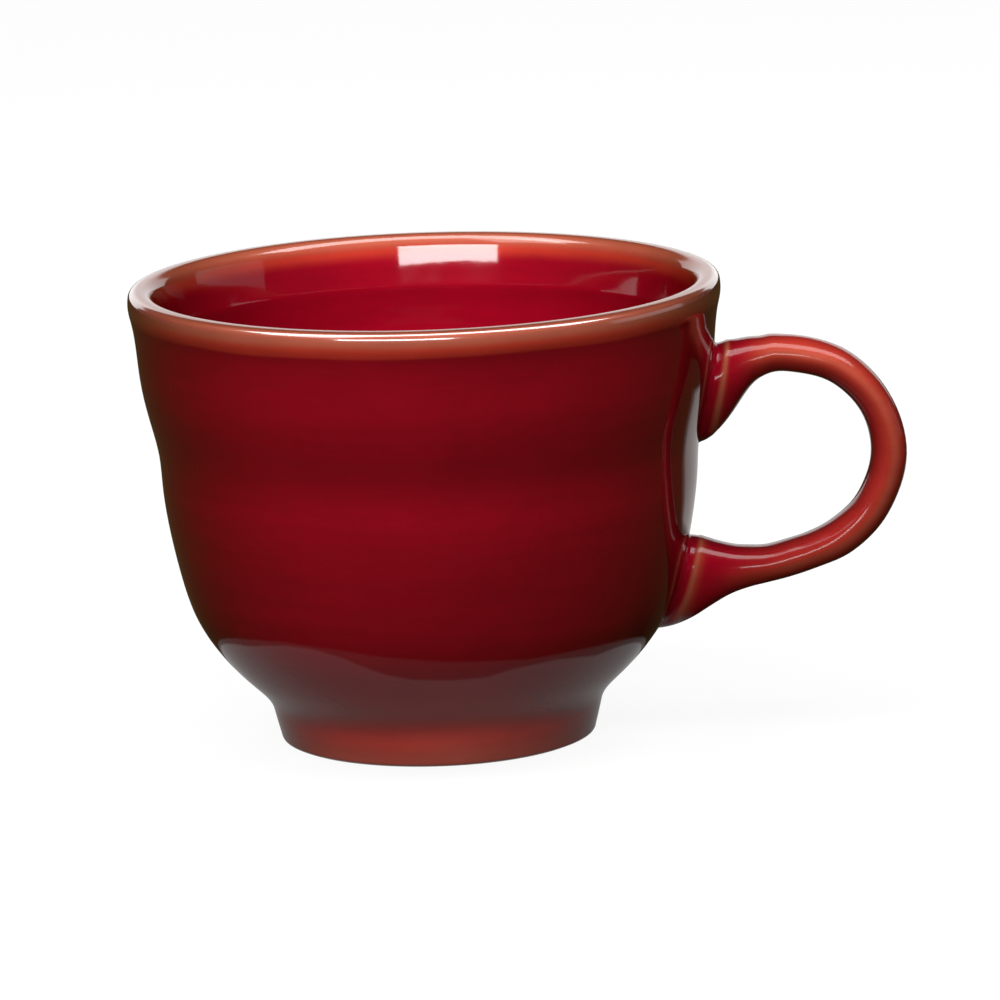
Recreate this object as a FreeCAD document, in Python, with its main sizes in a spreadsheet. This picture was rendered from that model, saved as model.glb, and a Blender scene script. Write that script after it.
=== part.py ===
"""Large one-handled glazed cup: a footed bowl with a ring handle luted to its wall.

Millimetres.  +Z is up, +X points from the cup's axis to the handle, and the origin is the
centre of the foot's bare contact ring, on the plane that the cup stands on.  Sizes are those
of the fired cup over its glaze, unless their note says otherwise.
"""
import FreeCAD, Part
import math
import os
import types
import Sketcher

doc = FreeCAD.newDocument("glazed_cup")
sheet = doc.addObject("Spreadsheet::Sheet", "sizes")
sheet.Label = "sizes"

SIZES = [
    ("rim_radius", 57.0, "lip, at its widest"),
    ("cup_height", 88.9, "contact plane to the lip's crest"),
    ("lip_thickness", 5.2, "lip, from its widest point to its inner edge"),
    ("lip_outer_rise", 2.7, "widest point of the lip up to its crest"),
    ("lip_inner_rise", 2.4, "inner edge of the lip up to its crest"),
    ("wall_thickness", 4.4, "bowl's wall with both coats of glaze"),
    ("floor_height", 11.6, "contact plane to the middle of the inside"),
    ("foot_height", 6.0, "contact plane to the bowl's flat underside"),
    ("foot_radius", 30.6, "foot's outside, at the top of its rounded lower edge"),
    ("waist_radius", 31.9, "foot's outside where the bowl sits on it"),
    ("foot_width", 4.8, "foot ring at the contact plane"),
    ("foot_taper", 2.4, "how much wider the foot ring is where the bowl sits on it"),
    ("foot_edge", 0.8, "rounding of the contact ring's two edges, left bare of glaze"),
    ("glaze_thickness", 0.35, "one coat of fired glaze"),
    ("slip_thickness", 0.45, "slip between the handle's ends and the bare wall"),
    ("ring_radius", 20.5, "handle ring's centre line"),
    ("handle_thickness", 6.8, "handle's section in the plane of the ring"),
    ("handle_width", 10.4, "handle's section across the ring"),
    ("handle_standoff", 11.3, "lip's widest radius to the ring's centre"),
    ("handle_drop", 37.1, "lip's crest down to the ring's centre"),
    ("root_height", 19.4, "handle's spread ends, up the wall"),
    ("root_width", 14.0, "handle's spread ends, round the wall"),
    ("upper_root_rise", 13.3, "ring's centre up to the middle of the upper end"),
    ("lower_root_drop", 23.8, "ring's centre down to the middle of the lower end"),
    ("upper_flare", 3.84, "ring's centre in to where the upper end starts to spread"),
    ("lower_flare", 3.89, "ring's centre in to where the lower end starts to spread"),
    ("root_bury", 9.0, "length of raw handle past the wall's face, trimmed off"),
]
for row, (alias, number, note) in enumerate(SIZES, start=1):
    sheet.set(f"A{row}", alias)
    sheet.set(f"B{row}", str(number))
    sheet.set(f"C{row}", note)
    sheet.setAlias(f"B{row}", alias)
doc.recompute()


class Length:
    """A length, as its present number and the formula on the sheet's cells that gives it."""

    def __init__(self, number, formula):
        self.number = number
        self.formula = formula

    def __add__(self, other):
        return Length(self.number + other.number, f"({self.formula} + {other.formula})")

    def __sub__(self, other):
        return Length(self.number - other.number, f"({self.formula} - {other.formula})")

    def __mul__(self, share):
        return Length(self.number * share, f"{self.formula} * {share}")


size = types.SimpleNamespace()
for alias, number, note in SIZES:
    setattr(size, alias, Length(number, f"{sheet.Name}.{alias}"))
ZERO = Length(0.0, "0")

# Where a cubic quarter turn's middle poles stand, from its ends towards its corner
QUARTER_SHARE = 0.5523


def between(start, end, share):
    return start + (end - start) * share


def quarter(start, corner, end):
    """Poles of a quarter turn from start to end that rounds off the corner."""
    leaving = tuple(between(a, b, QUARTER_SHARE) for a, b in zip(start, corner))
    arriving = tuple(between(a, b, QUARTER_SHARE) for a, b in zip(end, corner))
    return [start, leaving, arriving, end]


def pins(geometry, position, point):
    """Constraints that hold a point at two lengths from the sketch's origin, with their formulas."""
    held = []
    for kind, length in zip(("DistanceX", "DistanceY"), point):
        constraint = Sketcher.Constraint(kind, -1, 1, geometry, position, length.number)
        constraint.Name = f"{kind}_{geometry}_{position}"
        held.append((constraint, length.formula))
    return held


def draw_loop(sketch, runs):
    """Draw a closed outline: a run of two points is a line, a longer one a spline on its poles."""
    drawn = []
    held = []
    for run in runs:
        points = [FreeCAD.Vector(x.number, y.number, 0) for x, y in run]
        if len(points) == 2:
            drawn.append(sketch.addGeometry(Part.LineSegment(*points)))
            continue
        degree = min(3, len(points) - 1)
        spans = len(points) - degree
        curve = Part.BSplineCurve()
        curve.buildFromPolesMultsKnots(
            points,
            [degree + 1] + [1] * (spans - 1) + [degree + 1],
            [knot / spans for knot in range(spans + 1)],
            False,
            degree,
        )
        drawn.append(sketch.addGeometry(curve))
        first_pole = sketch.GeometryCount
        sketch.exposeInternalGeometry(drawn[-1])
        for step, point in enumerate(run[1:-1], start=1):
            held.extend(pins(first_pole + step, 3, point))
    for index, run in enumerate(runs):
        held.extend(pins(drawn[index], 1, run[0]))
    joins = [
        Sketcher.Constraint("Coincident", drawn[index - 1], 2, drawn[index], 1)
        for index in range(len(runs))
    ]
    sketch.addConstraint(joins + [constraint for constraint, formula in held])
    for constraint, formula in held:
        sketch.setExpression(f"Constraints.{constraint.Name}", formula)


def origin_plane(body, role):
    return next(plane for plane in body.Origin.OriginFeatures if plane.Role == role)


def turned(label, runs):
    """A body turned about the cup's axis from a closed outline of (radius, height) points."""
    body = doc.addObject("PartDesign::Body", label)
    body.Label = label
    sketch = body.newObject("Sketcher::SketchObject", f"{label}_outline")
    sketch.AttachmentSupport = [(origin_plane(body, "XZ_Plane"), "")]
    sketch.MapMode = "FlatFace"
    draw_loop(sketch, runs)
    turn = body.newObject("PartDesign::Revolution", f"{label}_turn")
    turn.Profile = sketch
    turn.ReferenceAxis = (sketch, ["V_Axis"])
    turn.Angle = 360
    return body


# The bowl's outside from the waist to just under the lip.  Each pole has its radius as a share of
# the way from the waist to the rim, its height as a share of the way from the foot to the crest,
# the outward normal's parts there, outwards and upwards, and the wall's thickness behind it as a
# share of wall_thickness, or zero where the inside doesn't follow it.
WALL_SHARES = [
    (0.000, 0.000, 1.00, 0.00, 0),
    (0.021, 0.030, 0.93, -0.37, 0),
    (0.209, 0.078, 0.70, -0.71, 1.34),
    (0.409, 0.145, 0.79, -0.61, 1.22),
    (0.587, 0.229, 0.89, -0.45, 1.12),
    (0.674, 0.326, 0.97, -0.24, 1.05),
    (0.748, 0.434, 0.98, -0.18, 1.01),
    (0.792, 0.531, 1.00, -0.08, 0.98),
    (0.794, 0.615, 0.99, -0.14, 0.98),
    (0.871, 0.700, 0.97, -0.24, 0.97),
    (0.932, 0.784, 0.99, -0.15, 0.97),
    (0.948, 0.869, 0.99, -0.13, 1.02),
    (0.978, 0.935, 0.98, -0.20, 0),
]
# The floor's poles, as shares of the waist's radius
FLOOR_SHARES = [0.78, 0.40, 0.0]
# How far under its widest point the lip starts to swell out of the wall, of lip_outer_rise
LIP_SWELL_SHARE = 0.5


def wall_pole(shares, inset):
    """A pole of the outside, moved into the wall along its normal by inset."""
    radius_share, height_share, outward_share, upward_share, thickness_share = shares
    radius = between(size.waist_radius, size.rim_radius, radius_share)
    height = between(size.foot_height, size.cup_height, height_share)
    return radius - inset * outward_share, height - inset * upward_share


def outside(inset):
    """Poles up the outside, an inset under the glaze's face, from the waist to the widest lip."""
    widest = size.rim_radius - inset
    shoulder = size.cup_height - size.lip_outer_rise
    poles = [wall_pole(shares, inset) for shares in WALL_SHARES]
    poles.append((widest, shoulder - size.lip_outer_rise * LIP_SWELL_SHARE))
    poles.append((widest, shoulder))
    return poles


def inside(inset):
    """Poles down the inside, an inset under the glaze's face, from the lip to the axis."""
    edge = size.rim_radius - size.lip_thickness + inset
    shoulder = size.cup_height - size.lip_inner_rise
    wall = [
        wall_pole(shares, size.wall_thickness * shares[-1] - inset)
        for shares in WALL_SHARES
        if shares[-1] > 0
    ]
    poles = [(edge, shoulder), (edge, shoulder - size.lip_inner_rise)]
    poles.extend(reversed(wall))
    poles.extend((size.waist_radius * share, size.floor_height - inset) for share in FLOOR_SHARES)
    return poles


def lip_outside(inset):
    """Quarter turn over the lip's outer half, from its widest point to its crest."""
    return quarter(
        (size.rim_radius - inset, size.cup_height - size.lip_outer_rise),
        (size.rim_radius - inset, size.cup_height - inset),
        (size.rim_radius - size.lip_thickness * 0.5, size.cup_height - inset),
    )


def lip_inside(inset):
    """Quarter turn over the lip's inner half, from its crest to its inner edge."""
    edge = size.rim_radius - size.lip_thickness + inset
    return quarter(
        (size.rim_radius - size.lip_thickness * 0.5, size.cup_height - inset),
        (edge, size.cup_height - inset),
        (edge, size.cup_height - size.lip_inner_rise),
    )


# Bowl of vitrified clay with its rounded lip, its wall, and a flat underside on the foot ring
clay_outside = outside(size.glaze_thickness)
clay_lip_outside = lip_outside(size.glaze_thickness)
clay_lip_inside = lip_inside(size.glaze_thickness)
clay_inside = inside(size.glaze_thickness)
underside_middle = (ZERO, size.foot_height)
bowl_body = turned(
    "bowl_body",
    [
        [underside_middle, clay_outside[0]],
        clay_outside,
        clay_lip_outside,
        clay_lip_inside,
        clay_inside,
        [clay_inside[-1], underside_middle],
    ],
)

# Foot ring of the same clay, whose rounded lower edges leave a flat contact ring
foot_outer = size.foot_radius - size.glaze_thickness
foot_inner = size.foot_radius - size.foot_width
recess_radius = size.waist_radius - size.foot_width - size.foot_taper
waist = size.waist_radius - size.glaze_thickness


foot_top_outside = (waist, size.foot_height)
outer_edge_top = (foot_outer, size.foot_edge)
outer_edge_bottom = (foot_outer - size.foot_edge, ZERO)
inner_edge_bottom = (foot_inner + size.foot_edge, ZERO)
inner_edge_top = (foot_inner, size.foot_edge)
foot_ring = turned(
    "foot_ring",
    [
        [(recess_radius, size.foot_height), inner_edge_top],
        quarter(inner_edge_top, (foot_inner, ZERO), inner_edge_bottom),
        [inner_edge_bottom, outer_edge_bottom],
        quarter(outer_edge_bottom, (foot_outer, ZERO), outer_edge_top),
        [outer_edge_top, foot_top_outside],
        [foot_top_outside, (recess_radius, size.foot_height)],
    ],
)


def coat(outer_runs, inner_runs):
    """Closed outline of a thin coat between the runs of its face and those of the clay under it."""
    under = [list(reversed(run)) for run in reversed(inner_runs)]
    near_end = [outer_runs[-1][-1], under[0][0]]
    far_end = [under[-1][-1], outer_runs[0][0]]
    return outer_runs + [near_end] + under + [far_end]


# Glaze poured inside, from the middle of the floor up to the crest of the lip
inner_glaze = turned(
    "inner_glaze",
    coat([lip_inside(ZERO), inside(ZERO)], [clay_lip_inside, clay_inside]),
)

# Glaze in the recess under the cup, down to the bare contact ring
recess_inset = recess_radius - size.glaze_thickness
recess_ceiling = size.foot_height - size.glaze_thickness
recess_middle = (ZERO, recess_ceiling)
recess_corner = (recess_inset, recess_ceiling)
recess_edge = (foot_inner - size.glaze_thickness, size.foot_edge)
clay_recess_corner = (recess_radius, size.foot_height)
underside_glaze = turned(
    "underside_glaze",
    coat(
        [[recess_middle, recess_corner], [recess_corner, recess_edge]],
        [[underside_middle, clay_recess_corner], [clay_recess_corner, inner_edge_top]],
    ),
)

# Handle ring and its two spread ends, all as sections square to its centre line.  A ring section
# has its angle from +X, and its radius and thickness as shares of ring_radius and
# handle_thickness.  An end's section has its distance from the wall as a share of the end's
# flare, how far its middle has moved from the end's height to the ring's, how far it has spread
# from the ring's section to the end's, and the angle that it is turned about Y.
RING_SHARES = [
    (90, 1.002, 1.03),
    (60, 1.012, 1.015),
    (30, 1.005, 0.985),
    (0, 0.993, 1.045),
    (-30, 0.955, 1.04),
    (-55, 0.935, 1.09),
    (-75, 0.932, 1.03),
    (-90, 0.972, 1.08),
]
UPPER_END_SHARES = [
    (0.06, 0.00, 1.00, -80),
    (0.28, 0.20, 0.83, -84),
    (0.53, 0.50, 0.50, -88),
    (0.79, 0.80, 0.20, -90),
    (0.99, 0.92, 0.08, -90),
]
LOWER_END_SHARES = [
    (1.000, 0.90, 0.04, 91.5),
    (0.822, 0.78, 0.10, 94),
    (0.633, 0.62, 0.23, 98),
    (0.436, 0.38, 0.49, 101),
    (0.236, 0.13, 0.79, 104.4),
    (0.020, 0.00, 1.00, 110),
]
# The wall's radius at the middle of each end, as a share of the way from the waist to the rim
UPPER_WALL_SHARE = 0.879
LOWER_WALL_SHARE = 0.578
# Sections of an end's raw clay past the wall's face, as shares of root_bury from the deepest up
BURY_SHARES = [1.0, 0.62, 0.3]
# How far an end's widest line lies above its middle, as a share of its height when fully spread
WIDEST_SHARE = 0.12

ring_x = size.rim_radius + size.handle_standoff
ring_z = size.cup_height - size.handle_drop
upper_wall = between(size.waist_radius, size.rim_radius, UPPER_WALL_SHARE)
lower_wall = between(size.waist_radius, size.rim_radius, LOWER_WALL_SHARE)


def ring_section(angle, radius_share, thickness_share):
    """Place and size of a section of the ring at an angle, with its widest line in the middle."""
    reach = size.ring_radius * radius_share
    across = ring_x + reach * round(math.cos(math.radians(angle)), 6)
    up = ring_z + reach * round(math.sin(math.radians(angle)), 6)
    return across, up, -angle, size.handle_thickness * thickness_share, size.handle_width, 0.0


def end_section(shares, wall, flare, middle_z, upwards):
    """Place and size of a section of one of the ends; upwards is 1 for the upper end, else -1."""
    reach_share, rise_share, spread_share, turn = shares
    across = between(wall, ring_x - flare, reach_share)
    rise = (ring_z + size.ring_radius * upwards - middle_z) * rise_share
    height = between(size.handle_thickness, size.root_height, spread_share)
    width = between(size.handle_width, size.root_width, spread_share)
    return across, middle_z + rise, turn, height, width, WIDEST_SHARE * spread_share * upwards


def buried(section):
    """The sections that carry an end's own section on past the wall's face, the deepest first."""
    return [(section[0] - size.root_bury * share,) + section[1:] for share in BURY_SHARES]


def handle_sections():
    upper_z = ring_z + size.upper_root_rise
    lower_z = ring_z - size.lower_root_drop
    upper = [
        end_section(shares, upper_wall, size.upper_flare, upper_z, 1) for shares in UPPER_END_SHARES
    ]
    ring = [ring_section(*shares) for shares in RING_SHARES]
    lower = [
        end_section(shares, lower_wall, size.lower_flare, lower_z, -1) for shares in LOWER_END_SHARES
    ]
    return buried(upper[0]) + upper + ring + lower + list(reversed(buried(lower[-1])))


def handle_form(label, inset):
    """The whole handle before it is trimmed to the wall, an inset under its glazed face."""
    body = doc.addObject("PartDesign::Body", label)
    body.Label = label
    sketches = []
    for across, up, turn, height, width, widest_share in handle_sections():
        sketch = body.newObject("Sketcher::SketchObject", f"{label}_section")
        sketch.AttachmentSupport = [(origin_plane(body, "XY_Plane"), "")]
        sketch.MapMode = "FlatFace"
        sketch.AttachmentOffset = FreeCAD.Placement(
            FreeCAD.Vector(across.number, 0, up.number),
            FreeCAD.Rotation(FreeCAD.Vector(0, 1, 0), turn),
        )
        sketch.setExpression("AttachmentOffset.Base.x", across.formula)
        sketch.setExpression("AttachmentOffset.Base.z", up.formula)
        far = height * 0.5 - inset
        near = ZERO - far
        side = width * 0.5 - inset
        other_side = ZERO - side
        widest = height * widest_share
        draw_loop(
            sketch,
            [
                quarter((far, ZERO), (far, side), (widest, side)),
                quarter((widest, side), (near, side), (near, ZERO)),
                quarter((near, ZERO), (near, other_side), (widest, other_side)),
                quarter((widest, other_side), (far, other_side), (far, ZERO)),
            ],
        )
        sketches.append(sketch)
    loft = body.newObject("PartDesign::AdditiveLoft", f"{label}_loft")
    loft.Profile = sketches[0]
    loft.Sections = [(sketch, [""]) for sketch in sketches[1:]]
    return body


def core(label, inset):
    """Everything inside the bowl's outside, an inset under its glazed face."""
    face = outside(inset)
    bottom = (ZERO, face[0][1])
    top = (ZERO, face[-1][1])
    return turned(label, [[bottom, face[0]], face, [face[-1], top], [top, bottom]])


def boolean(kind, label, base, tool):
    result = doc.addObject(f"Part::{kind}", label)
    result.Label = label
    result.Base = base
    result.Tool = tool
    return result


bare_handle_form = handle_form("bare_handle_form", size.glaze_thickness)
glazed_handle_form = handle_form("glazed_handle_form", ZERO)
slip_inset = size.glaze_thickness - size.slip_thickness
bare_core = core("bare_core", size.glaze_thickness)
slip_core = core("slip_core", slip_inset)

# Handle of cast clay, its ends cut to the wall and short of it by the slip
handle = boolean("Cut", "handle", bare_handle_form, slip_core)

# Slip that lutes each end of the handle to the bare wall
slip_layer = turned("slip_layer", coat([outside(slip_inset)], [clay_outside]))
slip_joints = boolean("Common", "slip_joints", bare_handle_form, slip_layer)


def level_block(label, bottom, height):
    """A block round the whole cup from one height upwards."""
    block = doc.addObject("Part::Box", label)
    half_side = ring_x + size.ring_radius + size.handle_thickness
    block.setExpression("Length", (half_side * 2).formula)
    block.setExpression("Width", (half_side * 2).formula)
    block.setExpression("Height", height.formula)
    block.setExpression("Placement.Base.x", (ZERO - half_side).formula)
    block.setExpression("Placement.Base.y", (ZERO - half_side).formula)
    block.setExpression("Placement.Base.z", bottom.formula)
    return block


upper_block = level_block("upper_block", ring_z, size.handle_drop)
lower_block = level_block("lower_block", ZERO, ring_z)
upper_slip_joint = boolean("Common", "upper_slip_joint", slip_joints, upper_block)
lower_slip_joint = boolean("Common", "lower_slip_joint", slip_joints, lower_block)

# Glaze over the handle and the edges of its slip, down to the bare wall
handle_coat = boolean("Cut", "handle_coat", glazed_handle_form, bare_core)
handle_glaze = boolean("Cut", "handle_glaze", handle_coat, bare_handle_form)

# Glaze over the outside, from the crest of the lip down to the foot's bare edge, open where the
# handle stands on the wall
glaze_foot_edge = (size.foot_radius, size.foot_edge)
glaze_outside = outside(ZERO)
outer_coat = turned(
    "outer_coat",
    coat(
        [[glaze_foot_edge, glaze_outside[0]], glaze_outside, lip_outside(ZERO)],
        [[outer_edge_top, foot_top_outside], clay_outside, clay_lip_outside],
    ),
)
outer_glaze = boolean("Cut", "outer_glaze", outer_coat, glazed_handle_form)

NODES = [
    bowl_body,
    foot_ring,
    handle,
    upper_slip_joint,
    lower_slip_joint,
    inner_glaze,
    outer_glaze,
    handle_glaze,
    underside_glaze,
]
doc.recompute()

for item in doc.Objects:
    if "Invalid" in item.State or "Error" in item.State:
        raise RuntimeError(f"{item.Label} failed: {item.State}")
for node in NODES:
    if node.Shape.isNull() or not node.Shape.isValid():
        raise RuntimeError(f"{node.Label} has no valid shape")

os.makedirs("parts", exist_ok=True)
for node in NODES:
    node.Shape.exportStep(f"parts/{node.Label}.step")
    box = node.Shape.BoundBox
    print(
        f"{node.Label}: {len(node.Shape.Solids)} solid, {node.Shape.Volume:.1f} mm3, "
        f"x {box.XMin:.2f} to {box.XMax:.2f}, z {box.ZMin:.2f} to {box.ZMax:.2f}"
    )
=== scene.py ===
"""Large one-handled cup under a glossy red glaze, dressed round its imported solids, in metres."""
import math

import bmesh
import bpy
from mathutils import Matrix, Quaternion, Vector, noise
from mathutils.bvhtree import BVHTree


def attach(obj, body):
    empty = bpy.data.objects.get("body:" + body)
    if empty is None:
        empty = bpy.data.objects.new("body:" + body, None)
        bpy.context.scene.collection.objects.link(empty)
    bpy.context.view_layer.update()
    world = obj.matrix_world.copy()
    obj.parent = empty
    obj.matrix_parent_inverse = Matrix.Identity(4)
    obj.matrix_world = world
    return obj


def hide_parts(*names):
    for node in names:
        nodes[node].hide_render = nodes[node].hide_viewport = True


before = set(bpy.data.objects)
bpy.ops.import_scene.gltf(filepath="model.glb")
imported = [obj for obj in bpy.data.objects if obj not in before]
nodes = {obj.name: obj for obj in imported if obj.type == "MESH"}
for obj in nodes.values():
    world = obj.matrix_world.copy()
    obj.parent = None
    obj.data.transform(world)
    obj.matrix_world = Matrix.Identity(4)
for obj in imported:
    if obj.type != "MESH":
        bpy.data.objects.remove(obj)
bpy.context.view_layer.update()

MM = 0.001


# The bowl and its foot ring are one throwing of buff stoneware, shown bare only where the cup
# stands.  The foot's lower edge is wiped clean of glaze before the firing and ground flat.
def material_of(name, roughness=0.5, ior=1.5):
    """A new material, with its node tree and its Principled shader."""
    material = bpy.data.materials.new(name)
    material.use_nodes = True
    tree = material.node_tree
    shader = tree.nodes["Principled BSDF"]
    shader.inputs["Roughness"].default_value = roughness
    shader.inputs["IOR"].default_value = ior
    return material, tree, shader


def feed(tree, socket, value):
    """Link a socket to another node's output, or give it a plain value."""
    if isinstance(value, bpy.types.NodeSocket):
        tree.links.new(value, socket)
    else:
        socket.default_value = value


def noise_node(tree, place, scale, detail=2.0, roughness=0.5):
    """Noise between 0 and 1 over the surface."""
    node = tree.nodes.new("ShaderNodeTexNoise")
    feed(tree, node.inputs["Vector"], place)
    feed(tree, node.inputs["Scale"], scale)
    feed(tree, node.inputs["Detail"], detail)
    feed(tree, node.inputs["Roughness"], roughness)
    return node.outputs["Fac"]


def ramp_node(tree, value, stops):
    """Colour from a value, by stops of (position, colour)."""
    node = tree.nodes.new("ShaderNodeValToRGB")
    elements = node.color_ramp.elements
    for element, (position, colour) in zip(elements, stops, strict=True):
        element.position = position
        element.color = (*colour, 1.0)
    feed(tree, node.inputs["Fac"], value)
    return node.outputs["Color"]


def mix_node(tree, share, first, second, blend="MIX"):
    """The first colour with a share of the second blended in."""
    node = tree.nodes.new("ShaderNodeMix")
    node.data_type = "RGBA"
    node.blend_type = blend
    feed(tree, node.inputs["Factor"], share)
    feed(tree, node.inputs["A"], first)
    feed(tree, node.inputs["B"], second)
    return node.outputs["Result"]


def bump_node(tree, height, distance):
    """Normal of a surface whose relief is the distance deep."""
    node = tree.nodes.new("ShaderNodeBump")
    feed(tree, node.inputs["Distance"], distance)
    feed(tree, node.inputs["Height"], height)
    return node.outputs["Normal"]


CLAY_GROUND = (0.27, 0.15, 0.09)
CLAY_PALE = (0.38, 0.24, 0.15)
CLAY_IRON = (0.10, 0.05, 0.03)
CLAY_ROUGHNESS = 0.82
CLAY_IOR = 1.45
CLOUD_SCALE = 90.0
SPECK_SCALE = 1500.0
GRAIN_SCALE = 2600.0
GRAIN_DEPTH = 0.06
BLACK = (0.0, 0.0, 0.0)
WHITE = (1.0, 1.0, 1.0)

stoneware, clay_tree, clay_shader = material_of("bare_stoneware", CLAY_ROUGHNESS, CLAY_IOR)
clay_place = clay_tree.nodes.new("ShaderNodeTexCoord").outputs["Object"]
clay_clouds = noise_node(clay_tree, clay_place, CLOUD_SCALE, 3.0)
clay_colour = ramp_node(clay_tree, clay_clouds, [(0.3, CLAY_GROUND), (0.7, CLAY_PALE)])
clay_specks = noise_node(clay_tree, clay_place, SPECK_SCALE, 1.0)
speck_mask = ramp_node(clay_tree, clay_specks, [(0.66, BLACK), (0.72, WHITE)])
speckled = mix_node(clay_tree, speck_mask, clay_colour, (*CLAY_IRON, 1.0))
clay_grain = noise_node(clay_tree, clay_place, GRAIN_SCALE, 3.0, 0.7)
clay_relief = bump_node(clay_tree, clay_grain, GRAIN_DEPTH * MM)
clay_tree.links.new(speckled, clay_shader.inputs["Base Color"])
clay_tree.links.new(clay_relief, clay_shader.inputs["Normal"])


def finish_node(name, material):
    """Give a CAD node that stays in view its finish."""
    node = nodes[name]
    for slot in node.material_slots:
        slot.material = material
    if not node.material_slots:
        node.data.materials.append(material)


finish_node("bowl_body", stoneware)
finish_node("foot_ring", stoneware)


# The handle is cast in the same clay and luted to the leather-hard wall with brushed slip, one
# layer under each spread end.  Glaze hides all three once the cup is fired.
for name in ("handle", "upper_slip_joint", "lower_slip_joint"):
    finish_node(name, stoneware)


# One coat of glaze runs from the wiped edge of the foot up the outside, over the lip and down
# the inside, over a soft ridge.  It is deep crimson where it lies thick and breaks to orange
# where it runs thin: over the lip, and low on the foot.  Up the flare above the foot its lighter
# colour is thinner glaze and also painted reflection of the pale floor.
FOOT_LINE = [
    (30.4, 0.3), (30.56, 0.6), (30.64, 0.9), (30.72, 1.3), (31.04, 2.5), (31.3, 3.5), (31.64, 4.9),
]
WALL_POLES = [
    (31.9, 6.0), (32.43, 8.49), (37.15, 12.47), (42.17, 18.02), (46.63, 24.98),
    (48.82, 33.03), (50.67, 41.98), (51.78, 50.02), (51.83, 56.98), (53.76, 64.03),
    (55.29, 70.99), (55.69, 78.04), (56.45, 83.51), (57.0, 84.85), (57.0, 86.2),
]
LIP_OUTER_POLES = [(57.0, 86.2), (57.0, 88.35), (56.7, 88.9), (54.4, 88.9)]
LIP_INNER_POLES = [(54.4, 88.9), (53.05, 88.9), (52.2, 87.9), (51.95, 86.5)]
INSIDE_POLES = [
    (51.95, 86.5), (51.6, 85.0), (51.28, 83.4), (50.94, 81.3), (50.71, 79.9), (50.6, 79.25),
    (50.53, 78.7), (50.53, 78.0), (50.55, 77.0), (50.57, 75.2), (50.5, 72.3), (50.24, 69.5),
    (49.5, 65.05), (47.6, 57.55),
    (47.48, 50.35), (46.31, 42.78), (44.51, 34.1), (42.24, 27.2), (37.93, 21.29), (33.03, 16.64),
    (24.88, 11.6), (12.76, 11.6), (0.0, 11.6),
]
GLAZE_THICKNESS = 0.35
TURN_STEPS = 144
SPLINE_STEPS = 8
CREST_RADIUS = 54.4
CREST_HEIGHT = 88.9
# How far under the crest the outside and the inside are told apart by radius
CREST_ZONE = 2.4
# Heights at which the glaze starts to break under the lip, and at which it has broken
LIP_BREAK = 83.9
CREST_BREAK = 87.4
# How thin it runs under the lip and on the foot; how far the flare above is lightened, by thinner
# glaze and by painted reflection of the pale floor; and where the last two end
UNDER_LIP_SHARE = 0.42
FOOT_SHARE = 0.36
FOOT_TOP = 8.0
FLARE_REFLECTION_SHARE = 0.42
FLARE_TOP = 22.0
# How far down the inside it is thin
INNER_BREAK = 6.0
WAVE_SCALE = 45.0
# Radii between which the lip's outer turn gets its glassy skin
TURN_START = 55.0
TURN_FULL = 56.2
# The hand's unevenness: how quickly it changes, and its depth in mm
BOWL_WANDER = (22.0, 0.16)


def drawn_line(poles):
    """Points along the smooth line that the poles pull into shape, as (radius, height) in mm."""
    curve = bpy.data.curves.new("drawn_line", "CURVE")
    curve.dimensions = "3D"
    spline = curve.splines.new("NURBS")
    spline.points.add(len(poles) - 1)
    for point, (radius, height) in zip(spline.points, poles):
        point.co = (radius, 0.0, height, 1.0)
    spline.order_u = 4
    spline.use_endpoint_u = True
    curve.resolution_u = SPLINE_STEPS
    carrier = bpy.data.objects.new("drawn_line", curve)
    mesh = bpy.data.meshes.new_from_object(carrier)
    points = [(vertex.co.x, vertex.co.z) for vertex in mesh.vertices]
    bpy.data.objects.remove(carrier)
    bpy.data.curves.remove(curve)
    bpy.data.meshes.remove(mesh)
    return points


outside_line = drawn_line(WALL_POLES)
glaze_line = FOOT_LINE + outside_line
for poles in (LIP_OUTER_POLES, LIP_INNER_POLES, INSIDE_POLES):
    glaze_line += drawn_line(poles)[1:]


def smoothstep(low, high, value):
    """0 below low, 1 above high, and a soft rise between them."""
    share = min(max((value - low) / (high - low), 0.0), 1.0)
    return share * share * (3.0 - 2.0 * share)


def hand_wander(point, scale, depth):
    """A soft unevenness left by the hand, never outwards, for a point in metres."""
    value = noise.noise(point * scale)
    return (value - 1.0) * 0.5 * depth * MM


def glaze_thinness_and_sheen(point, outside):
    """How thin the glaze runs, plus painted floor reflection on the flare: 0 thick, 1 breaking to
    orange.
    """
    height = point.z / MM
    wave = noise.noise(point * WAVE_SCALE)
    if not outside:
        return 1.0 - smoothstep(0.2, INNER_BREAK, CREST_HEIGHT - height + 0.5 * wave)
    under_lip = smoothstep(LIP_BREAK - 0.4, LIP_BREAK + 0.4, height + 0.3 * wave)
    crest = smoothstep(LIP_BREAK + 0.6, CREST_BREAK, height + 0.2 * wave)
    lip = UNDER_LIP_SHARE * under_lip + (1.0 - UNDER_LIP_SHARE) * crest
    foot = FOOT_SHARE * (1.0 - smoothstep(0.5, FOOT_TOP, height + wave))
    # The flare's lighter colour is thinner glaze together with painted reflection of the pale
    # floor
    flare_reflection = FLARE_REFLECTION_SHARE * (1.0 - smoothstep(FOOT_TOP, FLARE_TOP, height + wave))
    return max(lip, foot + flare_reflection)


def object_from(name, form):
    """A new object in the scene from a finished bmesh, which is freed."""
    mesh = bpy.data.meshes.new(name)
    form.to_mesh(mesh)
    form.free()
    piece = bpy.data.objects.new(name, mesh)
    bpy.context.scene.collection.objects.link(piece)
    return piece


def add_coat(piece):
    """Give the glaze's face its thickness, inwards."""
    coat = piece.modifiers.new("coat", "SOLIDIFY")
    coat.thickness = GLAZE_THICKNESS * MM
    coat.offset = -1.0


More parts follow.
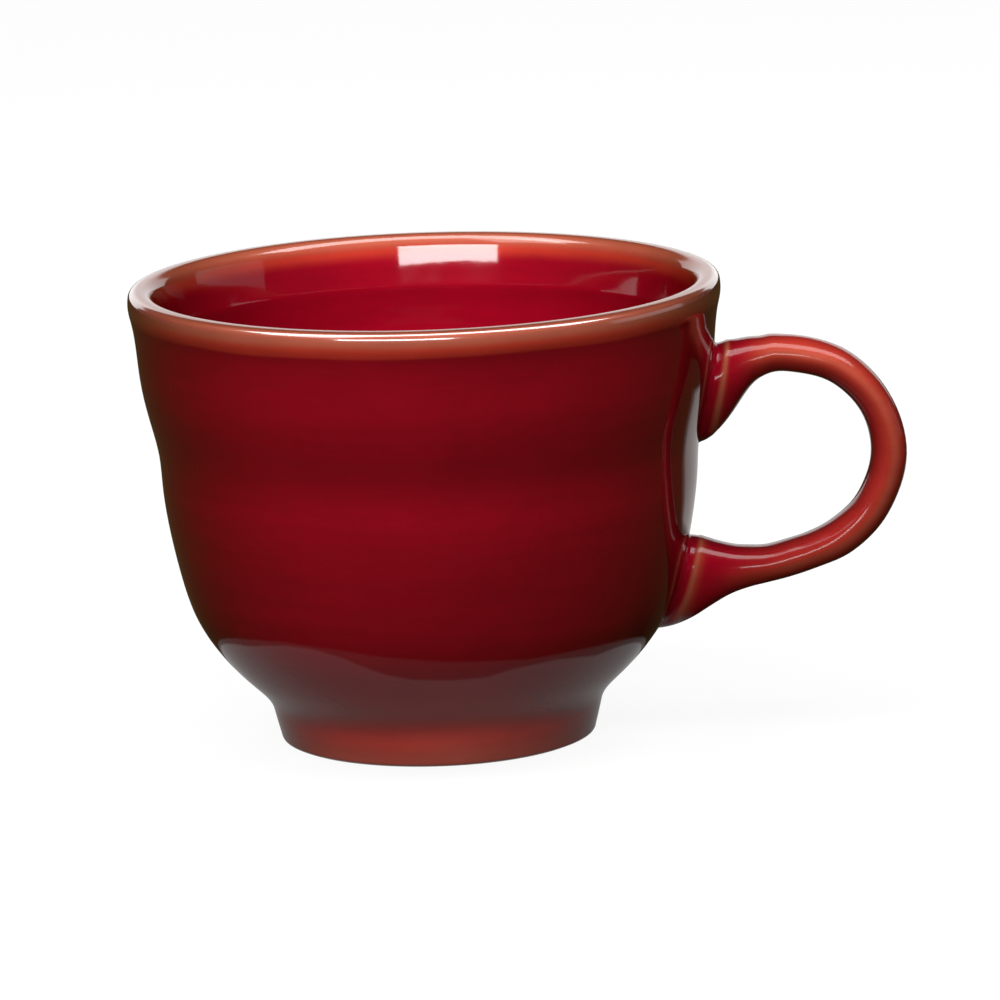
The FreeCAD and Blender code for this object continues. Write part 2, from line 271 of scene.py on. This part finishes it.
skin = bmesh.new()
profile = [skin.verts.new((radius * MM, 0.0, height * MM)) for radius, height in glaze_line]
profile_edges = [skin.edges.new(pair) for pair in zip(profile, profile[1:])]
bmesh.ops.spin(
    skin, geom=profile + profile_edges, cent=(0, 0, 0), axis=(0, 0, 1),
    angle=math.tau, steps=TURN_STEPS, use_merge=True,
)
bmesh.ops.remove_doubles(skin, verts=skin.verts, dist=0.01 * MM)
bmesh.ops.recalc_face_normals(skin, faces=skin.faces)
lowest = min(skin.faces, key=lambda face: face.calc_center_median().z)
if lowest.normal.dot(lowest.calc_center_median()) < 0:
    bmesh.ops.reverse_faces(skin, faces=skin.faces)
skin.normal_update()
# The thin value carries the glaze's thinness and, on the flare, painted floor reflection
thin_and_sheen_layer = skin.verts.layers.float.new("thin")
glassy_layer = skin.verts.layers.float.new("glassy")
for vertex in skin.verts:
    radius = math.hypot(vertex.co.x, vertex.co.y)
    on_outside = vertex.normal.dot(Vector((vertex.co.x, vertex.co.y, 0.0))) > 0
    near_crest = vertex.co.z > (CREST_HEIGHT - CREST_ZONE) * MM
    outer = radius > CREST_RADIUS * MM if near_crest else on_outside
    vertex[thin_and_sheen_layer] = glaze_thinness_and_sheen(vertex.co, outer)
    on_turn = smoothstep(TURN_START, TURN_FULL, radius / MM)
    vertex[glassy_layer] = on_turn * smoothstep(LIP_BREAK, LIP_BREAK + 2.0, vertex.co.z / MM)
for vertex in skin.verts:
    flat = Vector((vertex.co.x, vertex.co.y, 0.0))
    if flat.length > 1 * MM:
        vertex.co += flat.normalized() * hand_wander(vertex.co, *BOWL_WANDER)
bowl_glaze = object_from("bowl_glaze", skin)
bowl_glaze.data.shade_smooth()
add_coat(bowl_glaze)


def math_node(tree, operation, *values):
    """A sum, a product or the like of the values."""
    node = tree.nodes.new("ShaderNodeMath")
    node.operation = operation
    for socket, value in zip(node.inputs, values):
        feed(tree, socket, value)
    return node.outputs[0]


def range_node(tree, value, low, high, to_low=0.0, to_high=1.0, interpolation="LINEAR"):
    """The value moved from one range to another, and held within it."""
    node = tree.nodes.new("ShaderNodeMapRange")
    node.interpolation_type = interpolation
    feed(tree, node.inputs["Value"], value)
    feed(tree, node.inputs["From Min"], low)
    feed(tree, node.inputs["From Max"], high)
    feed(tree, node.inputs["To Min"], to_low)
    feed(tree, node.inputs["To Max"], to_high)
    return node.outputs["Result"]


def attribute_node(tree, name):
    """A value that the mesh carries at each vertex."""
    node = tree.nodes.new("ShaderNodeAttribute")
    node.attribute_name = name
    return node.outputs["Fac"]


# Scales of the patterns in the glaze, in waves per metre
DRIFT_SCALE = 38.0
RING_SCALE = 420.0
MOTTLE_SCALE = 120.0
GLOSS_SCALE = 210.0
PEEL_SCALE = 160.0
# Throwing rings run round the cup: across, their pattern is drawn out by this share
RING_STRETCH = 0.09


def glaze_group():
    """Node group for the red glaze: its colour, roughness and faint orange-peel."""
    group = bpy.data.node_groups.new("red_glaze", "ShaderNodeTree")
    for side, kind, names in (
        ("INPUT", "NodeSocketColor", ("Thick", "Middle", "Thin")),
        ("INPUT", "NodeSocketFloat", ("Thinness And Sheen", "Least Roughness")),
        ("OUTPUT", "NodeSocketColor", ("Color",)),
        ("OUTPUT", "NodeSocketFloat", ("Roughness", "Height")),
    ):
        for name in names:
            group.interface.new_socket(name, in_out=side, socket_type=kind)
    given = group.nodes.new("NodeGroupInput").outputs
    result = group.nodes.new("NodeGroupOutput").inputs
    place = group.nodes.new("ShaderNodeTexCoord").outputs["Object"]

    clouds = noise_node(group, place, DRIFT_SCALE, 4.0, 0.6)
    drift = math_node(group, "MULTIPLY_ADD", clouds, 0.16, -0.08)
    total = math_node(group, "ADD", given["Thinness And Sheen"], drift)
    to_middle = range_node(group, total, 0.0, 0.6, interpolation="SMOOTHSTEP")
    to_thin = range_node(group, total, 0.5, 1.0, interpolation="SMOOTHSTEP")
    colour = mix_node(group, to_middle, given["Thick"], given["Middle"])
    colour = mix_node(group, to_thin, colour, given["Thin"])

    stretched = group.nodes.new("ShaderNodeMapping")
    stretched.inputs["Scale"].default_value = (RING_STRETCH, RING_STRETCH, 1.0)
    group.links.new(place, stretched.inputs["Vector"])
    rings = noise_node(group, stretched.outputs["Vector"], RING_SCALE, 3.0, 0.6)
    mottle = noise_node(group, place, MOTTLE_SCALE, 5.0, 0.65)
    shade = range_node(group, math_node(group, "ADD", rings, mottle), 0.7, 1.3, 0.9, 1.07)
    shaded = group.nodes.new("ShaderNodeVectorMath")
    shaded.operation = "SCALE"
    group.links.new(colour, shaded.inputs["Vector"])
    group.links.new(shade, shaded.inputs["Scale"])
    group.links.new(shaded.outputs["Vector"], result["Color"])

    gloss = noise_node(group, place, GLOSS_SCALE, 3.0)
    sheen = math_node(group, "MULTIPLY_ADD", gloss, 0.05, given["Least Roughness"])
    dull = range_node(group, given["Thinness And Sheen"], 0.85, 1.0, 0.0, 0.09)
    group.links.new(math_node(group, "ADD", sheen, dull), result["Roughness"])
    group.links.new(noise_node(group, place, PEEL_SCALE), result["Height"])
    return group


THICK_CRIMSON = (0.276, 0.0018, 0.0115)
MIDDLE_RED = (0.46, 0.035, 0.02)
THIN_ORANGE = (0.4, 0.094, 0.056)
# What is left of the colour where the glaze is seen aslant: painted shade that darkens its edges
EDGE_PAINTED_SHADE = (0.2, 0.15, 0.06)
PEEL_DEPTH = 0.02
red_glaze_group = glaze_group()


def glaze_material(
    name, middle=MIDDLE_RED, thin=THIN_ORANGE, least_roughness=0.035, shine=0.5, edge_shade_blend=0.5,
):
    """The red glaze: the colours it breaks to, how smooth and shiny it is, how far painted shade
    darkens its edges.
    """
    material, tree, shader = material_of(name)
    shader.inputs["Specular IOR Level"].default_value = shine
    look = tree.nodes.new("ShaderNodeGroup")
    look.node_tree = red_glaze_group
    for socket, colour in (("Thick", THICK_CRIMSON), ("Middle", middle), ("Thin", thin)):
        look.inputs[socket].default_value = (*colour, 1.0)
    look.inputs["Least Roughness"].default_value = least_roughness
    tree.links.new(attribute_node(tree, "thin"), look.inputs["Thinness And Sheen"])
    # Painted shade: the colour is darkened towards the edges that are seen aslant
    edge_shade_node = tree.nodes.new("ShaderNodeLayerWeight")
    edge_shade_node.inputs["Blend"].default_value = edge_shade_blend
    edge_shade_mask = edge_shade_node.outputs["Facing"]
    edge_shaded = mix_node(tree, edge_shade_mask, look.outputs["Color"], (*EDGE_PAINTED_SHADE, 1.0), "MULTIPLY")
    peel = bump_node(tree, look.outputs["Height"], PEEL_DEPTH * MM)
    tree.links.new(edge_shaded, shader.inputs["Base Color"])
    tree.links.new(look.outputs["Roughness"], shader.inputs["Roughness"])
    tree.links.new(peel, shader.inputs["Normal"])
    return material


bowl_red = glaze_material("red_glaze_on_the_bowl", edge_shade_blend=0.72)
# The glaze lies glassiest on the lip's outer turn, where it gathers before it runs down
bowl_shader = bowl_red.node_tree.nodes["Principled BSDF"]
on_the_turn = attribute_node(bowl_red.node_tree, "glassy")
bowl_red.node_tree.links.new(on_the_turn, bowl_shader.inputs["Coat Weight"])
bowl_shader.inputs["Coat Roughness"].default_value = 0.1
bowl_shader.inputs["Coat IOR"].default_value = 1.8
bowl_glaze.data.materials.append(bowl_red)
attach(bowl_glaze, "root")
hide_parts("inner_glaze", "outer_glaze")


# The handle's own coat follows its ring from one spread end to the other.  It breaks to orange
# on the ring's outside and on the ends' raised edges, and pools dark where they meet the wall.
# A lighter band down the middle of the ring's sides is painted highlight.
# Each station: across, height, turn, thickness, width, widest line, clearance off the wall, and
# how thin the glaze is there.
HANDLE_STATIONS = [
    (53.5, 65.0, -80, 20.6, 15.6, 2.2, -0.5, -0.2),
    (54.3, 65.0, -80, 19.9, 14.8, 2.2, 0.15, -0.2),
    (54.7, 65.05, -80, 19.1, 13.9, 2.2, 0.7, -0.2),
    (55.3, 65.2, -80.5, 18.9, 13.6, 2.2, 1.3, -0.1),
    (56.1, 65.6, -81.5, 18.9, 13.7, 2.1, 2.0, 0.7),
    (56.8, 66.1, -83, 18.2, 13.3, 2.0, 2.7, 0.8),
    (57.6, 66.9, -84, 16.4, 12.9, 1.6, 3.5, 0.15),
    (59.5, 68.7, -88, 13.1, 12.2, 0.8, 6.0, 0.1),
    (62.25, 70.9, -90, 9.32, 11.1, 0.25, 9.0, 0.3),
    (64.35, 71.72, -90, 7.8, 10.7, 0.1, 11.0, 0.55),
]
RING_ACROSS = 68.3
RING_HEIGHT = 51.8
RING_RADIUS = 20.5
RING_THICKNESS = 6.8
RING_WIDTH = 10.4
RING_CLEARANCE = 15.0
RING_THINNESS = 0.62


def ring_station(angle, radius_share, thickness_share):
    """A station of the handle's open ring, at an angle from the side away from the cup."""
    reach = RING_RADIUS * radius_share
    across = RING_ACROSS + reach * math.cos(math.radians(angle))
    height = RING_HEIGHT + reach * math.sin(math.radians(angle))
    thickness = RING_THICKNESS * thickness_share
    return across, height, -angle, thickness, RING_WIDTH, 0.0, RING_CLEARANCE, RING_THINNESS


HANDLE_STATIONS += [
    ring_station(*shares)
    for shares in (
        (90, 1.002, 1.03), (60, 1.012, 1.015), (30, 1.005, 0.985), (0, 0.993, 1.045),
        (-30, 0.955, 1.04), (-55, 0.935, 1.09), (-75, 0.932, 1.03), (-90, 0.972, 1.08),
    )
]
HANDLE_STATIONS += [
    (64.41, 30.97, 91.5, 7.3, 10.54, -0.03, 14.0, 0.5),
    (61.2, 30.58, 94, 8.06, 10.76, -0.1, 12.0, 0.4),
    (57.8, 30.05, 98, 9.7, 11.23, -0.27, 9.5, 0.25),
    (54.26, 29.26, 101, 12.97, 12.16, -0.76, 6.5, 0.1),
    (51.6, 28.6, 103, 15.9, 12.95, -1.4, 4.2, 0.15),
    (49.6, 28.2, 105, 17.8, 13.45, -2.0, 2.8, 0.8),
    (48.7, 28.05, 107, 18.3, 13.6, -2.2, 2.1, 0.7),
    (47.8, 28.0, 109, 18.3, 13.6, -2.3, 1.3, -0.1),
    (47.1, 28.0, 110, 18.6, 13.9, -2.3, 0.7, -0.2),
    (46.6, 28.0, 110, 19.4, 14.8, -2.3, 0.15, -0.2),
    (45.9, 28.0, 110, 20.0, 15.6, -2.3, -0.5, -0.2),
]
SECTION_SEGMENTS = 36
STATION_STEPS = 4
# Clearances between which the coat stops following the wall
WALL_HOLD = 1.0
WALL_REACH = 5.0
# Below 1, the section's sides are flatter than an ellipse's
FLAT_SIDES = 0.82
# A band of painted highlight down the middle of the ring's sides, drawn lighter like thin glaze,
# at a place from -1 inside the ring to 1 outside it
HIGHLIGHT_BAND_PLACE = 0.3
HIGHLIGHT_BAND_SPREAD = 0.45
HIGHLIGHT_BAND_SHARE = 0.65
SIDE_SHARE = 0.5
# The hand's unevenness, as on the bowl
HANDLE_WANDER = (60.0, 0.1)
# How far the coat's face stays off the clay, and how near the clay has to be to count
LEAST_COVER = 0.3
COVER_REACH = 3.0


def wall_radius(height):
    """The bowl's outside radius at a height, in mm."""
    for (low_radius, low), (high_radius, high) in zip(outside_line, outside_line[1:]):
        if low <= height <= high:
            share = (height - low) / max(high - low, 1e-9)
            return low_radius + (high_radius - low_radius) * share
    return outside_line[-1][0]


def eased(before, start, end, after, share):
    """A value on the smooth line through start and end that heads from before to after."""
    leaving = (end - before) * 0.5
    arriving = (after - start) * 0.5
    square = share * share
    cube = square * share
    return (
        (2 * cube - 3 * square + 1) * start + (cube - 2 * square + share) * leaving
        + (3 * square - 2 * cube) * end + (cube - square) * arriving
    )


def all_stations():
    """The stations with smooth steps between them."""
    rows = []
    last = len(HANDLE_STATIONS) - 1
    for index in range(last):
        around = [HANDLE_STATIONS[min(max(index + step, 0), last)] for step in (-1, 0, 1, 2)]
        for step in range(STATION_STEPS):
            rows.append([eased(*values, step / STATION_STEPS) for values in zip(*around)])
    rows.append(list(HANDLE_STATIONS[last]))
    return rows


grip = bmesh.new()
# The thin value carries the glaze's thinness and, down the ring's sides, a painted highlight band
grip_thin_and_sheen = grip.verts.layers.float.new("thin")
loops = []
for across, height, turn, thickness, width, widest, clearance, thinness in all_stations():
    ring = bmesh.ops.create_circle(grip, segments=SECTION_SEGMENTS, radius=1.0)["verts"]
    up = Vector((math.cos(math.radians(turn)), 0.0, -math.sin(math.radians(turn))))
    middle = Vector((across, 0.0, height))
    hold = 1.0 - smoothstep(WALL_HOLD, WALL_REACH, clearance)
    for vertex in ring:
        outwards, sideways = vertex.co.x, vertex.co.y
        reach = thickness * 0.5 - widest if outwards > 0 else thickness * 0.5 + widest
        place = middle + up * (widest + reach * outwards)
        place.y = width * 0.5 * math.copysign(abs(sideways) ** FLAT_SIDES, sideways)
        face = math.sqrt((wall_radius(place.z) + clearance) ** 2 - place.y ** 2)
        place.x += (face - place.x) * hold
        vertex.co = place * MM
        vertex[grip_thin_and_sheen] = thinness
        # Painted highlight: a lighter band runs down the middle of the ring's sides
        if clearance > WALL_REACH:
            on_highlight_band = math.exp(-(((outwards - HIGHLIGHT_BAND_PLACE) / HIGHLIGHT_BAND_SPREAD) ** 2))
            vertex[grip_thin_and_sheen] *= SIDE_SHARE + HIGHLIGHT_BAND_SHARE * on_highlight_band
    loops.append(list({edge for vertex in ring for edge in vertex.link_edges}))
for before, after in zip(loops, loops[1:]):
    bmesh.ops.bridge_loops(grip, edges=before + after)
bmesh.ops.recalc_face_normals(grip, faces=grip.faces)
for vertex in grip.verts:
    vertex.co += vertex.normal * hand_wander(vertex.co, *HANDLE_WANDER)
clay = nodes["handle"]
clay_surface = BVHTree.FromPolygons(
    [clay.matrix_world @ vertex.co for vertex in clay.data.vertices],
    [face.vertices for face in clay.data.polygons],
)
for vertex in grip.verts:
    place, facing, _, distance = clay_surface.find_nearest(vertex.co)
    cover = (vertex.co - place).dot(facing)
    if cover < LEAST_COVER * MM and distance < COVER_REACH * MM:
        vertex.co += facing * (LEAST_COVER * MM - cover)
handle_coat = object_from("handle_coat", grip)
handle_coat.data.shade_smooth()
smooth = handle_coat.modifiers.new("smooth", "SUBSURF")
smooth.levels = 1
smooth.render_levels = 1
add_coat(handle_coat)
handle_red = glaze_material(
    "red_glaze_on_the_handle", middle=(0.33, 0.03, 0.018), thin=(0.38, 0.095, 0.057),
    least_roughness=0.1, shine=0.2,
)
handle_coat.data.materials.append(handle_red)
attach(handle_coat, "root")
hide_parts("handle_glaze")


# The recess under the cup is glazed too, up to the bare ring that stands on the kiln shelf.
# Its coat is brushed on thick and stays crimson all over.
finish_node("underside_glaze", glaze_material("red_glaze_under_the_foot"))


# A pale floor runs on under the cup and far behind it, so that it fills the picture.  Cameras
# and reflections see it near white; to the rest of the light it is plain matt paper.
FLOOR_RADIUS = 4.0
FLOOR_WHITE = (0.86, 0.86, 0.86)
BACKGROUND_SHARE = 0.92
floor_form = bmesh.new()
bmesh.ops.create_circle(floor_form, cap_ends=True, segments=96, radius=FLOOR_RADIUS)
floor = object_from("floor", floor_form)
floor_paint, floor_tree, floor_shader = material_of("pale_floor", 0.9)
floor_shader.inputs["Base Color"].default_value = (*FLOOR_WHITE, 1.0)
floor_shader.inputs["Specular IOR Level"].default_value = 0.0
rays = floor_tree.nodes.new("ShaderNodeLightPath").outputs
seen = math_node(floor_tree, "MAXIMUM", rays["Is Camera Ray"], rays["Is Glossy Ray"])
seen = math_node(floor_tree, "MAXIMUM", seen, rays["Is Transmission Ray"])
share = math_node(floor_tree, "MULTIPLY", seen, BACKGROUND_SHARE)
paper = floor_tree.nodes.new("ShaderNodeEmission")
shown = floor_tree.nodes.new("ShaderNodeMixShader")
floor_tree.links.new(share, shown.inputs["Fac"])
floor_tree.links.new(floor_shader.outputs["BSDF"], shown.inputs[1])
floor_tree.links.new(paper.outputs["Emission"], shown.inputs[2])
floor_out = floor_tree.nodes["Material Output"]
floor_tree.links.new(shown.outputs["Shader"], floor_out.inputs["Surface"])
floor.data.materials.append(floor_paint)


# A dark card with a hole for the cup lies just above the floor, as on a photographer's table.
# Only the glaze sees it: its red stays deep above the pale band that the foot's floor gives it.
CARD_LIFT = 0.4 * MM
CARD_SEGMENTS = 120
# The hole's edge and the dim border's outer edge, as azimuth (0 front, 90 handle) and radius
HOLE_LINE = [
    (-180, 62), (-114, 65), (-79, 63), (-58, 66.5), (-45, 65), (-35, 60.5), (-28, 55), (-19, 49.5),
    (-10, 47), (5, 46), (18, 46.5), (28, 49.5), (45, 52), (66, 51), (80, 54), (95, 56), (180, 62),
]
BORDER_LINE = [
    (-180, 64), (-60, 68.5), (-37, 65), (-20, 60), (5, 55), (20, 54), (35, 53), (51, 54.5),
    (180, 64),
]
LEAST_BORDER = 1.2
# The gap behind the cup, whose pale floor the wall shows beside the handle
CARD_GAP = (130.0, 174.0)
GAP_FADE = 3.0
GAP_LINE_NEAR = [(-180, 150), (180, 150)]
GAP_LINE_FAR = [(-180, 235), (130, 235), (172, 365), (180, 365)]
CARD_START = [(-180, 30), (180, 30)]
CARD_END = [(-180, 3500), (180, 3500)]
# Each ring: the line it follows, its distance from that line, how dark it is, and how much of
# that the gap takes away
CARD_RINGS = (
    (CARD_START, 0, 0.74, 0), (HOLE_LINE, -1, 0.58, 0), (HOLE_LINE, 0.4, 0.86, 0),
    (BORDER_LINE, 0, 0.86, 0), (BORDER_LINE, 1.6, 1, 0), (GAP_LINE_NEAR, 0, 1, 0),
    (GAP_LINE_NEAR, 15, 1, 0.5), (GAP_LINE_FAR, 0, 1, 0.5), (GAP_LINE_FAR, 18, 1, 0),
    (CARD_END, 0, 1, 0),
)
CARD_BLACK = (0.03, 0.02, 0.008)


def on_line(line, azimuth):
    """Radius of a drawn outline at an azimuth, in mm."""
    for (low, low_radius), (high, high_radius) in zip(line, line[1:]):
        if low <= azimuth <= high:
            return low_radius + (high_radius - low_radius) * (azimuth - low) / (high - low)
    return line[-1][1]


card_form = bmesh.new()
card_dark = card_form.verts.layers.float.new("dark")
card_loops = []
for line, offset, dark, opening in CARD_RINGS:
    ring = bmesh.ops.create_circle(card_form, segments=CARD_SEGMENTS, radius=1.0)["verts"]
    for vertex in ring:
        azimuth = math.degrees(math.atan2(vertex.co.x, -vertex.co.y))
        radius = on_line(line, azimuth) + offset
        if line is BORDER_LINE:
            radius = max(radius, on_line(HOLE_LINE, azimuth) + LEAST_BORDER + offset)
        vertex.co *= radius * MM
        after_start = smoothstep(CARD_GAP[0] - GAP_FADE, CARD_GAP[0] + GAP_FADE, azimuth)
        after_end = smoothstep(CARD_GAP[1] - GAP_FADE, CARD_GAP[1] + GAP_FADE, azimuth)
        open_share = after_start * (1.0 - after_end)
        vertex[card_dark] = dark * (1.0 - opening * open_share)
    card_loops.append(list({edge for vertex in ring for edge in vertex.link_edges}))
for inner, outer in zip(card_loops, card_loops[1:]):
    bmesh.ops.bridge_loops(card_form, edges=inner + outer)
bmesh.ops.translate(card_form, verts=card_form.verts, vec=(0.0, 0.0, CARD_LIFT))
dark_card = object_from("dark_card", card_form)
card_paint, card_tree, card_shader = material_of("black_card", 1.0)
card_shader.inputs["Base Color"].default_value = (*CARD_BLACK, 1.0)
card_shader.inputs["Specular IOR Level"].default_value = 0.0
card_tree.links.new(attribute_node(card_tree, "dark"), card_shader.inputs["Alpha"])
dark_card.data.materials.append(card_paint)
dark_card.visible_camera = False
dark_card.visible_transmission = False
dark_card.visible_shadow = False


# The camera stands where the photograph was taken from, a good metre away, with a long lens.
# It looks down on the cup by some twelve degrees and leans a little to one side.
CAMERA_PLACE = (0.0, -1.37546, 0.32905)
CAMERA_AIM = (0.0133, 0.0002, 0.0452)
CAMERA_ROLL = 1.866
camera_data = bpy.data.cameras.new("camera")
camera_data.lens = 261.9
camera_data.sensor_width = 36.0
camera_data.clip_end = 20.0
camera = bpy.data.objects.new("camera", camera_data)
bpy.context.scene.collection.objects.link(camera)
camera.location = CAMERA_PLACE
look = (Vector(CAMERA_AIM) - Vector(CAMERA_PLACE)).normalized()
camera.rotation_mode = "QUATERNION"
tilt = Quaternion(look, math.radians(CAMERA_ROLL))
camera.rotation_quaternion = tilt @ look.to_track_quat("-Z", "Y")
bpy.context.scene.camera = camera


# Soft lamps, as in a studio: a low window above the camera, a softbox overhead with a dim
# ceiling round it, a key on the left, a window past the handle and a panel behind.  The room
# itself is nearly dark.
LAMP_AIM = (0.0, 0.0, 0.05)
ROOM_GREY = (0.028, 0.028, 0.028)


def soft_lamp(name, azimuth, elevation, distance, width, height, radiance):
    """An area lamp that faces the cup.  Azimuth 0 is the camera's side and 90 the handle's."""
    data = bpy.data.lights.new(name, "AREA")
    data.shape = "RECTANGLE"
    data.size = width
    data.size_y = height
    data.energy = radiance * math.pi * width * height
    lamp = bpy.data.objects.new(name, data)
    bpy.context.scene.collection.objects.link(lamp)
    turn = math.radians(azimuth)
    rise = math.radians(elevation)
    level = math.cos(rise)
    away = Vector((math.sin(turn) * level, -math.cos(turn) * level, math.sin(rise)))
    lamp.location = away * distance + Vector(LAMP_AIM)
    lamp.rotation_mode = "QUATERNION"
    lamp.rotation_quaternion = (-away).to_track_quat("-Z", "Y")


soft_lamp("front_window", -11.6, 15.6, 2.2, 1.72, 0.26, 18.0)
soft_lamp("top_softbox", 0.0, 80.0, 1.2, 2.6, 0.62, 9.5)
soft_lamp("ceiling", 0.0, 80.0, 1.6, 4.5, 1.6, 0.25)
soft_lamp("left_key", -54.0, 46.0, 2.0, 1.1, 1.0, 4.0)
soft_lamp("right_window", 96.0, 7.2, 2.0, 1.5, 0.585, 0.5)
soft_lamp("back_panel", 180.0, 11.0, 2.2, 3.0, 0.8, 1.3)
world = bpy.data.worlds.new("room")
world.use_nodes = True
world.node_tree.nodes["Background"].inputs["Color"].default_value = (*ROOM_GREY, 1.0)
bpy.context.scene.world = world
bpy.context.scene.view_settings.view_transform = "Standard"
